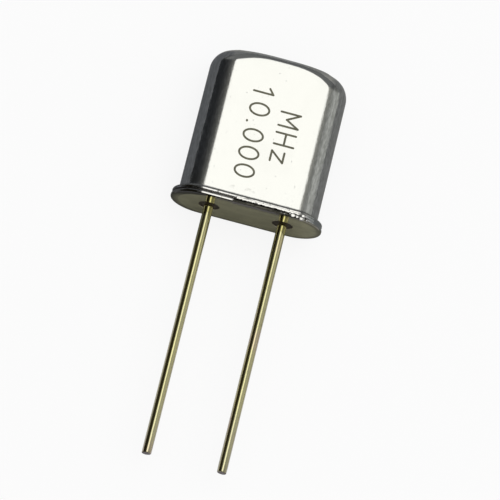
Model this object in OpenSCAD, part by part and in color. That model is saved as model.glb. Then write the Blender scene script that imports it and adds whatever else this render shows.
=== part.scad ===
// Two-lead quartz crystal unit in a resistance-welded metal can, millimetres.
//
// Every module is drawn as the unit stands on its seating face: X along the row of leads, Z up
// the can, the marked face towards -Y. lay_down() then puts it on its back, as it comes to rest:
// +Y into the can, leads along -Y, marked face up. The origin is the middle of the seating face.

/* [Can] */
// Width of the can over its rounded ends
can_width = 7.05; // [6.6:0.05:9]
// Depth of the can from the marked face to the back
can_depth = 2.5; // [2.2:0.05:3.6]
// Height of the seated unit, from the seating face to the top of the can
can_height = 8.15; // [7.6:0.05:12]
// Thickness of the drawn sheet
can_wall = 0.2; // [0.1:0.01:0.3]
// Outside radius where the walls turn into the top
top_radius = 0.6; // [0.4:0.05:1]
// How far the can's flange stands out from its wall
can_lip = 0.3; // [0.25:0.01:0.5]
// Thickness of the can's flange, thinned by the press
can_lip_thickness = 0.18; // [0.14:0.01:0.3]
// Radius of the flare from the wall out to the flange
flare_radius = 0.2; // [0.05:0.01:0.22]
// Radius inside the mouth, where the sheet turns outwards
mouth_radius = 0.12; // [0.05:0.01:0.2]

/* [Base plate] */
// How far the base plate's flange stands out from the can's wall
base_lip = 0.32; // [0.25:0.01:0.5]
// Thickness of the base plate's flange
base_lip_thickness = 0.22; // [0.14:0.01:0.4]
// Rounding of the stamped edges, on both flanges
edge_radius = 0.06; // [0.02:0.005:0.065]
// Height of the boss above the flange
boss_height = 0.8; // [0.5:0.05:1.2]
// Gap all round between the boss and the inside of the can
boss_gap = 0.1; // [0.03:0.01:0.2]
// Radius along the top edge of the boss
boss_edge_radius = 0.12; // [0.05:0.01:0.2]
// What is left of the weld ridge's height, which keeps the two flanges apart
weld_gap = 0.04; // [0.02:0.005:0.08]
// Width of the melted weld ridge
weld_ridge_width = 0.16; // [0.08:0.01:0.2]

/* [Leads] */
// Distance between the axes of the leads
lead_pitch = 3.75; // [3.4:0.05:4.1]
// Diameter of the wire
lead_diameter = 0.48; // [0.4:0.01:0.55]
// Length of a lead below the seating face
lead_length = 13; // [3:0.1:20]
// Thickness of the plating, drawn thick enough to be a step; the glass holds unplated wire
plating_thickness = 0.005; // [0.002:0.001:0.01]
// Chamfer round the cut end of a lead
lead_chamfer = 0.04; // [0.01:0.01:0.08]
// Height of bare wire between the boss and the lead's head
lead_rise = 0.2; // [0.1:0.05:0.5]
// Diameter of the flattened head that the clip is welded to
head_diameter = 0.95; // [0.8:0.05:1.2]
// Thickness of the flattened head
head_thickness = 0.15; // [0.1:0.01:0.3]
// Diameter of the glass bead that seals a lead in the base plate
bead_diameter = 1.05; // [0.85:0.05:1.3]
// Depth of the hollow that the glass draws round the wire at both ends
bead_hollow = 0.05; // [0.02:0.01:0.1]

/* [Quartz blank] */
// Diameter of the round blank
blank_diameter = 5; // [4.5:0.1:5.6]
// Thickness of the blank
blank_thickness = 0.17; // [0.1:0.01:0.3]
// Bevel round both edges of the blank
blank_bevel = 0.03; // [0.01:0.005:0.04]
// Height of the blank's lowest point above the feet of the clips
blank_lift = 0.4; // [0.2:0.05:0.8]
// Diameter of the metal film on each face
electrode_diameter = 2.6; // [1.5:0.1:3.4]
// Width of the strip of film that leads to the rim
tab_width = 0.8; // [0.5:0.05:1.2]
// Thickness of the film, drawn thick enough to be a solid
film_thickness = 0.02; // [0.01:0.005:0.03]

/* [Spring clips] */
// Thickness of the clip's ribbon
clip_thickness = 0.1; // [0.06:0.01:0.14]
// Width of the clip's ribbon
clip_width = 1.2; // [0.9:0.05:1.5]
// Inside radius of the bend above the foot
clip_bend_radius = 0.12; // [0.05:0.01:0.16]
// How far the foot reaches inwards past the axis of its lead
foot_reach = 0.35; // [0.2:0.05:0.45]
// How far the blank's rim passes out of the clip
rim_reach = 0.12; // [0.05:0.01:0.2]
// Gap between the slot and what it holds, all round
slot_gap = 0.03; // [0.01:0.005:0.06]
// Width of ribbon left above the slot
clip_bridge = 0.35; // [0.2:0.05:0.6]
// Radius of the dots of conductive adhesive between clip and blank
dot_radius = 0.35; // [0.25:0.01:0.4]

/* [Hidden] */
$fn = 64;

// The can, the boss and both flanges are offsets of one track: two half circles about these
// centres, joined by a straight of this length.
track_length = can_width - can_depth;
can_reach = can_depth / 2;

// Heights, upwards from the seating face
can_foot = base_lip_thickness + weld_gap;
can_lip_top = can_foot + can_lip_thickness;
boss_top = base_lip_thickness + boss_height;
head_bottom = boss_top + lead_rise;
head_top = head_bottom + head_thickness;
foot_top = head_top + clip_thickness;

lead_radius = lead_diameter / 2;
sealed_radius = lead_radius - plating_thickness;

blank_radius = blank_diameter / 2;
blank_height = foot_top + blank_lift + blank_radius;

// Faces of a clip's upright ribbon, outwards from the middle of the unit
clip_outside = blank_radius - rim_reach;
clip_inside = clip_outside - clip_thickness;

// The slot has to pass the blank where it is widest, at the ribbon's inner face.
slot_half_height = sqrt(pow(blank_radius, 2) - pow(clip_inside, 2)) + slot_gap;
slot_half_width = blank_thickness / 2 + film_thickness + slot_gap;
clip_top = blank_height + slot_half_height + clip_bridge;

// Cutting tools pass the faces that they open by this much.
overshoot = 1;

CAN_COLOR = [0.78, 0.78, 0.75];
BASE_COLOR = [0.42, 0.41, 0.36];
GLASS_COLOR = [0.2, 0.16, 0.15];
LEAD_COLOR = [0.72, 0.68, 0.42];
CLIP_COLOR = [0.7, 0.7, 0.72];
QUARTZ_COLOR = [0.88, 0.93, 0.95, 0.6];
FILM_COLOR = [0.85, 0.85, 0.88];
ADHESIVE_COLOR = [0.55, 0.55, 0.56];

// ---------------------------------------------------------------- placing

// From standing on the seating face to lying on the back
module lay_down() {
    rotate([-90, 0, 0]) children();
}

// The right-hand pieces are the left-hand ones turned half way round the can's axis.
module turned_about() {
    rotate([0, 0, 180]) children();
}

module at_left_lead() {
    translate([-lead_pitch / 2, 0, 0]) children();
}

// Carries a half section, drawn with X outwards and Y up, once round the track.
module round_track() {
    for (side = [0, 1])
        mirror([side, 0, 0])
            translate([track_length / 2, 0, 0])
                rotate([0, 0, -90])
                    rotate_extrude(angle = 180) children();
    translate([-track_length / 2, 0, 0])
        rotate([90, 0, 90])
            linear_extrude(track_length)
                for (side = [0, 1])
                    mirror([side, 0]) children();
}

// ---------------------------------------------------------------- sections

// A bar from the axis out to reach, with its outer top corner rounded
module top_rounded_section(reach, bottom, top, radius) {
    translate([0, bottom]) square([reach - radius, top - bottom]);
    translate([0, bottom]) square([reach, top - bottom - radius]);
    translate([reach - radius, top - radius])
        intersection() {
            circle(radius);
            square(radius);
        }
}

// A bar from the axis out to reach, with both outer corners rounded
module edge_rounded_section(reach, bottom, top, radius) {
    translate([0, bottom]) square([reach - radius, top - bottom]);
    translate([0, bottom + radius]) square([reach, top - bottom - 2 * radius]);
    for (height = [bottom + radius, top - radius])
        translate([reach - radius, height]) circle(radius);
}

// What fills the corner between an upright face and a level one, up to a round of that radius
module corner_section(radius) {
    difference() {
        square(radius);
        translate([radius, radius]) circle(radius);
    }
}

// Outside of the can: rounded top, straight wall, flare and flange
module can_outside_section() {
    top_rounded_section(can_reach, can_foot, can_height, top_radius);
    edge_rounded_section(can_reach + can_lip, can_foot, can_lip_top, edge_radius);
    translate([can_reach, can_lip_top]) corner_section(flare_radius);
}

// Inside of the can, one sheet's thickness in, with the rounded mouth
module can_inside_section() {
    reach = can_reach - can_wall;
    top_rounded_section(reach, can_foot, can_height - can_wall, top_radius - can_wall);
    translate([reach, can_foot]) corner_section(mouth_radius);
}

// Flange and boss in one stamping, with the ridge that the weld melted on the flange
module base_section() {
    boss_reach = can_reach - can_wall - boss_gap;
    ridge_middle = can_reach + (can_lip - can_wall) / 2;
    edge_rounded_section(can_reach + base_lip, 0, base_lip_thickness, edge_radius);
    top_rounded_section(boss_reach, 0, boss_top, boss_edge_radius);
    translate([ridge_middle - weld_ridge_width / 2, base_lip_thickness])
        square([weld_ridge_width, weld_gap]);
}

// The glass between wire and base plate, with a hollow ring at each end
module bead_section() {
    inner = sealed_radius;
    outer = bead_diameter / 2;
    half_chord = (outer - inner) / 2;
    hollow_radius = (pow(half_chord, 2) + pow(bead_hollow, 2)) / (2 * bead_hollow);
    difference() {
        translate([inner, 0]) square([outer - inner, boss_top]);
        for (centre = [bead_hollow - hollow_radius, boss_top - bead_hollow + hollow_radius])
            translate([inner + half_chord, centre]) circle(hollow_radius);
    }
}

// ---------------------------------------------------------------- housing

module can() {
    color(CAN_COLOR)
        lay_down()
            round_track()
                difference() {
                    can_outside_section();
                    can_inside_section();
                }
}

module base_plate() {
    color(BASE_COLOR)
        lay_down()
            difference() {
                round_track() base_section();
                for (side = [-1, 1])
                    translate([side * lead_pitch / 2, 0, -overshoot])
                        cylinder(d = bead_diameter, h = boss_top + 2 * overshoot);
            }
}

// ---------------------------------------------------------------- leads

module glass_bead() {
    at_left_lead() rotate_extrude() bead_section();
}

// Straight wire with a chamfered end below and a flattened head above. Its plating was put on
// after the glass was fused, so it stops at both ends of the bead.
module lead() {
    at_left_lead()
        rotate_extrude()
            polygon([
                [0, -lead_length],
                [lead_radius - lead_chamfer, -lead_length],
                [lead_radius, -lead_length + lead_chamfer],
                [lead_radius, 0],
                [sealed_radius, 0],
                [sealed_radius, boss_top],
                [lead_radius, boss_top],
                [lead_radius, head_bottom],
                [head_diameter / 2, head_bottom],
                [head_diameter / 2, head_top],
                [0, head_top]
            ]);
}

module left_glass_bead() {
    color(GLASS_COLOR) lay_down() glass_bead();
}

module right_glass_bead() {
    color(GLASS_COLOR) lay_down() turned_about() glass_bead();
}

module left_lead() {
    color(LEAD_COLOR) lay_down() lead();
}

module right_lead() {
    color(LEAD_COLOR) lay_down() turned_about() lead();
}

// ---------------------------------------------------------------- resonator

// Side view of a clip: foot on the lead's head, bend, upright ribbon
module clip_profile() {
    outer_bend = clip_bend_radius + clip_thickness;
    bend_centre = [-clip_outside + outer_bend, head_top + outer_bend];
    foot_end = -lead_pitch / 2 + foot_reach;
    translate([bend_centre[0], head_top])
        square([foot_end - bend_centre[0], clip_thickness]);
    translate([-clip_outside, bend_centre[1]])
        square([clip_thickness, clip_top - bend_centre[1]]);
    intersection() {
        translate([-clip_outside, head_top]) square(outer_bend);
        difference() {
            translate(bend_centre) circle(outer_bend);
            translate(bend_centre) circle(clip_bend_radius);
        }
    }
}

module spring_clip() {
    difference() {
        translate([0, clip_width / 2, 0])
            rotate([90, 0, 0]) linear_extrude(clip_width) clip_profile();
        translate([-clip_outside - overshoot, -slot_half_width, blank_height - slot_half_height])
            cube([clip_thickness + 2 * overshoot, 2 * slot_half_width, 2 * slot_half_height]);
    }
}

// Round film with a strip to the left rim, on the face of the blank towards -Y
module electrode() {
    film_radius = blank_radius - blank_bevel;
    translate([0, -blank_thickness / 2, blank_height])
        rotate([90, 0, 0])
            linear_extrude(film_thickness) {
                circle(d = electrode_diameter);
                intersection() {
                    circle(film_radius);
                    translate([-blank_radius, -tab_width / 2]) square([blank_radius, tab_width]);
                }
            }
}

// Quarter of a ball in the corner between the clip's inner face and one face of the blank
module adhesive_dot(side, standoff) {
    translate([-clip_inside, side * standoff, blank_height])
        intersection() {
            sphere(dot_radius);
            translate([0, side < 0 ? -dot_radius : 0, -dot_radius])
                cube([dot_radius, dot_radius, 2 * dot_radius]);
        }
}

// One dot on the film in front, one on bare quartz behind
module adhesive() {
    adhesive_dot(-1, blank_thickness / 2 + film_thickness);
    adhesive_dot(1, blank_thickness / 2);
}

module quartz_blank() {
    half = blank_thickness / 2;
    color(QUARTZ_COLOR)
        lay_down()
            translate([0, 0, blank_height])
                rotate([90, 0, 0])
                    rotate_extrude()
                        polygon([
                            [0, -half],
                            [blank_radius - blank_bevel, -half],
                            [blank_radius, -half + blank_bevel],
                            [blank_radius, half - blank_bevel],
                            [blank_radius - blank_bevel, half],
                            [0, half]
                        ]);
}

module front_electrode() {
    color(FILM_COLOR) lay_down() electrode();
}

module rear_electrode() {
    color(FILM_COLOR) lay_down() turned_about() electrode();
}

module left_spring_clip() {
    color(CLIP_COLOR) lay_down() spring_clip();
}

module right_spring_clip() {
    color(CLIP_COLOR) lay_down() turned_about() spring_clip();
}

module left_adhesive() {
    color(ADHESIVE_COLOR) lay_down() adhesive();
}

module right_adhesive() {
    color(ADHESIVE_COLOR) lay_down() turned_about() adhesive();
}

// ---------------------------------------------------------------- nodes

can();
base_plate();
left_glass_bead();
right_glass_bead();
left_lead();
right_lead();
left_spring_clip();
right_spring_clip();
quartz_blank();
front_electrode();
rear_electrode();
left_adhesive();
right_adhesive();
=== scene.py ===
"""Draws a two-lead quartz crystal unit: a drawn metal can welded to a base plate, with two wires.

Every visible piece is a surface worked out with numpy, in metres, in the frame of the solids: X
runs along the row of leads, Y from the seating face into the can, and Z out of the marked face.
"""

from functools import partialmethod
from math import cos, hypot, pi, radians, sin

import bmesh
import bpy
import numpy as np
from bpy.props import FloatProperty, FloatVectorProperty, PointerProperty, StringProperty
from mathutils import Matrix, Vector


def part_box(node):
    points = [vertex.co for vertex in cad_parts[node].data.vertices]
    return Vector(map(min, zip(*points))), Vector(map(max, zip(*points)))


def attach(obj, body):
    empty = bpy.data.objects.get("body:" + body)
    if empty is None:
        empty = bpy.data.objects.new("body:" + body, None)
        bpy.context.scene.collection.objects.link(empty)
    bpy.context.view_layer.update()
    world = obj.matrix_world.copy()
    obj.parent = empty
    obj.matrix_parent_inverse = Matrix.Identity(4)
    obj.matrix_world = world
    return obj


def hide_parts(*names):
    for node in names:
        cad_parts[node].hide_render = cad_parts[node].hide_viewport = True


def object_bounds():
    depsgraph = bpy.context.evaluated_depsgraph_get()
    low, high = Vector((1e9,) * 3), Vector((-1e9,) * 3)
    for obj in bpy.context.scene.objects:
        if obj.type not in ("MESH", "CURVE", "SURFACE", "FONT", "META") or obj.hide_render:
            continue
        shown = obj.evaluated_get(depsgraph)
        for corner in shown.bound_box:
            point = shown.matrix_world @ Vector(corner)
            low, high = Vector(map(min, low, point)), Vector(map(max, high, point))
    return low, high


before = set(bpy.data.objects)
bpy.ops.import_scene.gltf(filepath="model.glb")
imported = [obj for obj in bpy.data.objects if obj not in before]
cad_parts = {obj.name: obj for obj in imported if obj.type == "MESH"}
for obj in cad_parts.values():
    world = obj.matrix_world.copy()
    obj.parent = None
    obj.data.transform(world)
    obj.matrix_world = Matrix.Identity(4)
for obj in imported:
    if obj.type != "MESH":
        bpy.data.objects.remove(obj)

bl_info = {
    "name": "Two-Lead Crystal Unit",
    "version": (1, 0, 0),
    "blender": (4, 5, 0),
    "location": "3D View > Sidebar > Crystal Unit",
    "description": "Draws a quartz crystal unit in a welded metal can, and the studio round it",
    "category": "Add Mesh",
}

MM = 0.001
BODY = "root"

# The solids' boxes give the driving sizes, so the pieces follow the frame.
SOLIDS_LOW, SOLIDS_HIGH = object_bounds()
CAN_LOW, CAN_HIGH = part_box("can")
PLATE_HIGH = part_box("base_plate")[1]
BEAD_LOW, BEAD_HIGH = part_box("left_glass_bead")
LEAD_LOW, LEAD_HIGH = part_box("left_lead")
# X of the left lead's axis, below 0; the right one's is as far above it
LEAD_X = (LEAD_LOW.x + LEAD_HIGH.x) / 2
# How far the can's flange stands out from its wall
FLANGE_OVERHANG = 0.3 * MM

# Sockets of shader nodes by number: coordinates, a length, and the two tones and result of a mix
GENERATED, OBJECT, LENGTH = 0, 3, 1
FIRST_TONE, SECOND_TONE, MIXED = 6, 7, 2

# Seeds of the random curves: the can's trimmed edge outwards and downwards, and the weld
EDGE_SEED, LIP_SEED, WELD_SEED = 11, 5, 29
# Power that flattens the round section of the weld flash: 1 is round, towards 0 is square
FLAT_FRONT = 0.5
# Small droplets of weld metal: how many lie front right, and how many anywhere
RIGHT_DROPLETS, LOOSE_DROPLETS = 26, 20
# Large splashes on the front of the rim, in mm: X, Y, and half the width
SPLASHES = (
    (1.53, 0.085, 0.06), (2.02, 0.17, 0.05), (2.18, 0.12, 0.16), (2.39, 0.10, 0.11),
    (2.61, 0.065, 0.17), (2.68, 0.23, 0.15), (2.87, 0.245, 0.08), (2.91, 0.07, 0.07),
    (3.24, 0.085, 0.05),
)

# Painted reflection: darker tones on the two rims' ends that stand for the dark surroundings they
# mirror, which the can, the plate and the weld share
LEFT_END_PAINTED_REFLECTION, RIGHT_END_PAINTED_REFLECTION = (0.13, 0.13, 0.135), (0.27, 0.29, 0.30)

# The camera's lens in mm, and the point that it aims at
LENS, AIM = 250, Vector((0.625 * MM, -1.68 * MM, 0))
# Lamps: place, and size along X and Y
SOFTBOX_PLACE, SOFTBOX_SIZE = (0.016, 0.01875, 0.2), (0.110, 0.2375)
KEY_PLACE, KEY_SIZE = (0.19, 0.09, 0.28), (0.24, 0.24)
# Radii of the floor, of a first ring of its mesh, and of the dome of walls
FLOOR_REACH, FLOOR_MIDDLE, WALLS_REACH = 1.5, 90 * MM, 0.7
# The grey dish: radii of its rim and of its flat middle, and how high its rim stands
DISH_REACH, DISH_MIDDLE, DISH_LIFT = 70 * MM, 55 * MM, 9 * MM
# Flags beside the wires: distance, and where they start and end along Y
FLAG_REACH, FLAG_LOW, FLAG_HIGH = 25 * MM, -30 * MM, 9.5 * MM


def length(name, description, default):
    """A size in metres that the sidebar shows with its unit"""
    return FloatProperty(
        name=name, description=description, default=default, min=0.0, precision=6,
        subtype="DISTANCE", unit="LENGTH",
    )


def colour(name, description, default):
    """A linear colour"""
    return FloatVectorProperty(
        name=name, description=description, default=default, min=0.0, max=1.0, size=3,
        subtype="COLOR",
    )


def amount(name, description, default):
    """A plain number from 0 up"""
    return FloatProperty(
        name=name, description=description, default=default, min=0.0, subtype="FACTOR"
    )


class CanSizes(bpy.types.PropertyGroup):
    """Sizes of the drawn can"""

    width: length("Width", "Over the rounded ends", 2 * (CAN_HIGH.x - FLANGE_OVERHANG))
    depth: length("Depth", "From the marked face to the back", 2 * (CAN_HIGH.z - FLANGE_OVERHANG))
    wall: length("Wall", "Thickness of the drawn sheet", 0.2 * MM)
    overhang: length("Flange overhang", "How far the flange stands out", FLANGE_OVERHANG)
    flange: length("Flange thickness", "Thickness of the flange", 0.152 * MM)
    flare: length("Flare radius", "From the wall out to the flange", 0.158 * MM)
    mouth: length("Mouth radius", "Inside the mouth", 0.12 * MM)
    edge: length("Edge radius", "Rounding of the trimmed edge", 0.06 * MM)
    middle_round: length("Top radius, middle", "Along the middle of the two faces", 0.39 * MM)
    end_round: length("Top radius, ends", "Round the two ends", 1.09 * MM)
    shoulder: length("Right shoulder", "How much softer the right shoulder is", 0.12 * MM)
    dish: length("Dish", "How far the middle of a face lies in", 0.012 * MM)

    @property
    def half_track(self):
        """Half the straight between the two round ends"""
        return (self.width - self.depth) / 2


class PlateSizes(bpy.types.PropertyGroup):
    """Sizes of the base plate stamping"""

    flange: length("Flange thickness", "Thickness of the flange", 0.19 * MM)
    edge: length("Edge radius", "Rounding of the stamped edge", 0.08 * MM)
    boss_reach: length("Boss reach", "From the middle line to the boss's wall", 0.95 * MM)
    boss_edge: length("Boss edge radius", "Along the top of the boss", 0.12 * MM)
    ridge_middle: length("Ridge middle", "From the middle line to the weld ridge", 1.3 * MM)
    ridge_width: length("Ridge width", "Width of the weld ridge", 0.16 * MM)
    hole_edge: length("Hole edge radius", "Rounding where the punch went in", 0.015 * MM)
    hollow: length("Glass hollow", "How deep the glass draws in", 0.035 * MM)


class LeadSizes(bpy.types.PropertyGroup):
    """Sizes of the wire leads"""

    diameter: length("Diameter", "Of the plated wire", 0.48 * MM)
    plating: length("Plating", "Step where the plating stops", 0.005 * MM)
    chamfer: length("End rounding", "Round the cut end", 0.04 * MM)
    rise: length("Rise", "Bare wire between boss and head", 0.2 * MM)
    slant: length("Slant of the cut", "From one side of the cut to the other", 0.03 * MM)


class MarkingSizes(bpy.types.PropertyGroup):
    """The generic marking on the face: a round frequency and its unit"""

    figures: StringProperty(name="Figures", description="Upper line", default="10.000")
    unit: StringProperty(name="Unit", description="Lower line", default="MHz")
    height: length("Height", "Height of a figure", 1.06 * MM)
    stroke: length("Stroke", "Width of a stroke", 0.108 * MM)
    relief: length("Relief", "How far a stroke stands on the face", 0.006 * MM)
    figures_foot: FloatProperty(
        name="Figures' foot", description="X of the figures' feet", default=-1.18 * MM,
        subtype="DISTANCE", unit="LENGTH",
    )
    figures_start: length("Figures' start", "Y where the figures start", 6.42 * MM)
    unit_foot: length("Unit's foot", "X of the unit's feet", 0.4 * MM)
    unit_start: length("Unit's start", "Y where the unit starts", 5.35 * MM)


class WeldSizes(bpy.types.PropertyGroup):
    """The metal squeezed out of the welded seam"""

    reach: length("Reach", "From the middle line to the flash where it is least", 1.51 * MM)
    lap: length("Lap", "How much further it stands out where it is most", 0.052 * MM)
    swell: length("Swell", "How far it runs down over the base plate's edge", 0.07 * MM)
    thickness: length("Thickness", "Half the height of the flash where it is least", 0.016 * MM)
    droplet: length("Droplet", "Radius of a middling droplet", 0.024 * MM)


class Finishes(bpy.types.PropertyGroup):
    """Colours of the metals, the glass and the marking"""

    face: colour("Can face", "Satin nickel on the flat faces", (0.735, 0.733, 0.695))
    # The ends' tone is duller drawn metal, darkened further as painted reflection
    ends: colour("Can ends", "Duller nickel where the sheet was drawn most", (0.45, 0.46, 0.47))
    flange: colour("Can flange", "Bright trimmed flange", (0.78, 0.77, 0.73))
    plate: colour("Base plate", "Bright plate with an olive cast", (0.868, 0.84, 0.567))
    glass: colour("Glass", "Fused dark brown glass", (0.016, 0.011, 0.004))
    gold: colour("Gold", "Thin pale gold on the wire", (0.72, 0.68, 0.345))
    weld: colour("Weld", "Melted metal", (0.76, 0.75, 0.71))
    marking: colour("Marking", "Dark olive grey of the figures", (0.105, 0.102, 0.066))


class StudioLevels(bpy.types.PropertyGroup):
    """Camera, lamps and surroundings"""

    azimuth: amount("Camera turn", "Degrees towards -X from square on", 3.0)
    drop: amount("Camera drop", "Degrees below square on to the face", 17.9)
    roll: amount("Camera roll", "Degrees that the part leans in the frame", 13.9)
    distance: length("Camera distance", "From what it aims at", 170.9 * MM)
    softbox: amount("Softbox level", "Radiance of the panel overhead", 1.01)
    key: amount("Key power", "Watts of the large side lamp", 0.22)
    around: amount("Surroundings", "Level of the plain pale walls", 0.66)
    floor: colour("Floor", "Top of the light table", (0.94, 0.94, 0.94))


SETTINGS = {
    "can": CanSizes, "plate": PlateSizes, "leads": LeadSizes, "marking": MarkingSizes,
    "weld": WeldSizes, "finishes": Finishes, "studio": StudioLevels,
}


class UnitSettings(bpy.types.PropertyGroup):
    """All settings of the crystal unit"""

    can: PointerProperty(type=CanSizes)
    plate: PointerProperty(type=PlateSizes)
    leads: PointerProperty(type=LeadSizes)
    marking: PointerProperty(type=MarkingSizes)
    weld: PointerProperty(type=WeldSizes)
    finishes: PointerProperty(type=Finishes)
    studio: PointerProperty(type=StudioLevels)


# ---- surfaces


def grid_faces(rows, columns, closed=True, looped=False):
    """Quads between neighbouring points of a grid.

    closed joins a row's end to its start, and looped joins the last row to the first.
    """
    row, column = np.meshgrid(
        np.arange(rows if looped else rows - 1), np.arange(columns if closed else columns - 1),
        indexing="ij",
    )
    near, far = row * columns, (row + 1) % rows * columns
    after = (column + 1) % columns
    return np.stack([near + column, near + after, far + after, far + column], -1).reshape(-1, 4)


def full_turn(steps):
    """Angles in radians, evenly round one whole turn"""
    return np.linspace(0, 2 * pi, steps, endpoint=False)


def line(start, end, steps):
    """Points evenly from start to end: each is (reach, height), and either may be a column."""
    share = np.linspace(0, 1, steps)[None, :]
    return [a + (b - a) * share for a, b in zip(start, end)]


def bow(centre, radius, start, end, steps):
    """Points round centre at radius, from start to end in degrees, counted from outwards to up."""
    turn = np.radians(np.linspace(start, end, steps))[None, :]
    return [centre[0] + radius * np.cos(turn), centre[1] + radius * np.sin(turn)]


def chain(parts, stations):
    """One section from several parts, the same count of points at each station along a track."""
    return [
        np.concatenate(
            [np.broadcast_to(part[axis], (stations, part[axis].shape[1])) for part in parts], 1
        )
        for axis in (0, 1)
    ]


def track(half_track, bend_steps, straight_steps):
    """Stations round a race track: X on its middle line, and the outward direction in X and Z.

    Right end from back to front, front straight, left end from front to back, back straight.
    """
    bend = np.linspace(-pi / 2, pi / 2, bend_steps, endpoint=False)
    run = np.linspace(1, -1, straight_steps, endpoint=False) * half_track
    middle = np.concatenate([
        np.full(bend_steps, half_track), run, np.full(bend_steps, -half_track), -run
    ])
    heading = np.concatenate([
        bend, np.full(straight_steps, pi / 2), bend + pi, np.full(straight_steps, 3 * pi / 2)
    ])
    return middle, np.cos(heading), np.sin(heading)


def carried(section, stations):
    """Points of a section carried along a track: middle line plus reach times outward direction."""
    reach, height = section
    middle, out_x, out_z = (value[:, None] for value in stations)
    return np.stack([middle + reach * out_x, height + 0 * out_x, reach * out_z], -1)


def revolved(section, axis_x, steps):
    """Points of a section turned once about the line along Y at axis_x, one row per step."""
    turn = full_turn(steps)[:, None]
    reach, height = (np.asarray(value).reshape(1, -1) for value in section)
    return np.stack([axis_x + reach * np.cos(turn), height + 0 * turn, reach * np.sin(turn)], -1)


def ripple(places, rng, waves, lowest, highest):
    """A smooth random curve from -1 to 1: sines of whole numbers of waves, each with a phase."""
    counts = np.rint(np.linspace(lowest, highest, waves))[:, None]
    phases = rng.uniform(0, 2 * pi, (waves, 1))
    weights = rng.uniform(0.4, 1, (waves, 1))
    total = (weights * np.sin(counts * places.reshape(1, -1) + phases)).sum(0)
    return (total / np.abs(total).max()).reshape(places.shape)


def smooth_step(value, low, high):
    """0 below low, 1 above high, and an S curve between."""
    share = np.clip((value - low) / (high - low), 0, 1)
    return share * share * (3 - 2 * share)


def squared_off(wave, power):
    """A sine or cosine raised to a power below 1, its sign kept, which flattens its crests."""
    return np.sign(wave) * np.abs(wave) ** power


def add_surface(name, points, faces, material):
    """An object from points and quads, with coincident points welded and faces turned outwards"""
    used, corners = np.unique(faces, return_inverse=True)
    mesh = bpy.data.meshes.new(name)
    mesh.from_pydata(
        points.reshape(-1, 3)[used].tolist(), [], corners.reshape(faces.shape).tolist()
    )
    shape = bmesh.new()
    shape.from_mesh(mesh)
    bmesh.ops.remove_doubles(shape, verts=shape.verts, dist=0.0001 * MM)
    bmesh.ops.dissolve_degenerate(shape, edges=shape.edges, dist=0.00005 * MM)
    bmesh.ops.recalc_face_normals(shape, faces=shape.faces)
    shape.to_mesh(mesh)
    shape.free()
    mesh.materials.append(material)
    surface = bpy.data.objects.new(name, mesh)
    bpy.context.scene.collection.objects.link(surface)
    return surface


def add_piece(name, points, faces, material, slot, replaced=None, crease=35):
    """A piece of the part, smooth up to edges of crease degrees; the slot is not used"""
    piece = add_surface(name, points, faces, material)
    piece.data.shade_smooth()
    piece.data.set_sharp_from_angle(angle=radians(crease))
    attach(piece, BODY)
    if replaced:
        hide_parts(replaced)


def add_swept(name, sections, *finish, looped=False, **options):
    """A piece from sections that stand round a closed track, looped if each closes on itself"""
    rows = sections.transpose(1, 0, 2)
    add_piece(name, rows, grid_faces(*rows.shape[:2], looped=looped), *finish, **options)


# ---- materials


class Pattern:
    """A number, tone or shader at each point: an output of a node. Arithmetic on it adds nodes."""

    def __init__(self, tree, socket):
        self.tree, self.socket = tree, socket

    def calculate(self, operation, other=0.0):
        """One step of arithmetic with a number or another pattern"""
        return node(self.tree, "Math", {0: self, 1: other}, operation=operation)

    __add__ = partialmethod(calculate, "ADD")
    __sub__ = partialmethod(calculate, "SUBTRACT")
    __mul__ = partialmethod(calculate, "MULTIPLY")
    __pow__ = partialmethod(calculate, "POWER")
    __abs__ = partialmethod(calculate, "ABSOLUTE")
    or_more = partialmethod(calculate, "MAXIMUM")

    def ramp(self, low, high, start=0.0, end=1.0):
        """start below low, end above high, and an S curve between"""
        return node(
            self.tree, "MapRange", {0: self, 1: low, 2: high, 3: start, 4: end},
            interpolation_type="SMOOTHSTEP",
        )

    def noise(self, *waves, detail=3.0, rough=0.55):
        """Noise at a place, with its own count of waves per millimetre along X, Y and Z"""
        scaled = node(self.tree, "VectorMath", {0: self, 1: waves}, operation="MULTIPLY")
        settings = {"Vector": scaled, "Scale": 1.0, "Detail": detail, "Roughness": rough}
        return node(self.tree, "TexNoise", settings)


def node(tree, kind, inputs, output=0, **settings):
    """Adds a shader node, sets or links its inputs by name or number, and returns an output."""
    made = tree.nodes.new("ShaderNode" + kind)
    for key, value in settings.items():
        setattr(made, key, value)
    for key, value in inputs.items():
        if isinstance(value, Pattern):
            tree.links.new(value.socket, made.inputs[key])
        else:
            made.inputs[key].default_value = value
    return [Pattern(tree, socket) for socket in made.outputs][output] if made.outputs else None


def new_tree(owner):
    """An empty node tree on a material or world"""
    owner.use_nodes = True
    owner.node_tree.nodes.clear()
    return owner.node_tree


def split(vector):
    """X, Y and Z of a vector pattern"""
    return node(vector.tree, "SeparateXYZ", {0: vector}, output=slice(3))


def new_material(name):
    """A material, the place on the part in millimetres, and that place's X, Y and Z"""
    material = bpy.data.materials.new(name)
    tree = new_tree(material)
    place = node(tree, "TexCoord", {}, output=OBJECT)
    place = node(tree, "VectorMath", {0: place, "Scale": 1 / MM}, operation="SCALE")
    return material, place, split(place)


def layered(ground, *layers):
    """A tone with others laid over it in order, each given as its share and its own tone"""
    for share, tone in layers:
        first, second = (
            value if isinstance(value, Pattern) else (*value, 1.0) for value in (ground, tone)
        )
        inputs = {0: share, FIRST_TONE: first, SECOND_TONE: second}
        ground = node(share.tree, "Mix", inputs, output=MIXED, data_type="RGBA")
    return ground


def shade(tone, share):
    """The tone darkened to that share"""
    return tuple(channel * share for channel in tone)


def ended(material, shader):
    """The material, with the shader linked to its output"""
    node(shader.tree, "OutputMaterial", {0: shader})
    return material


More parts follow.
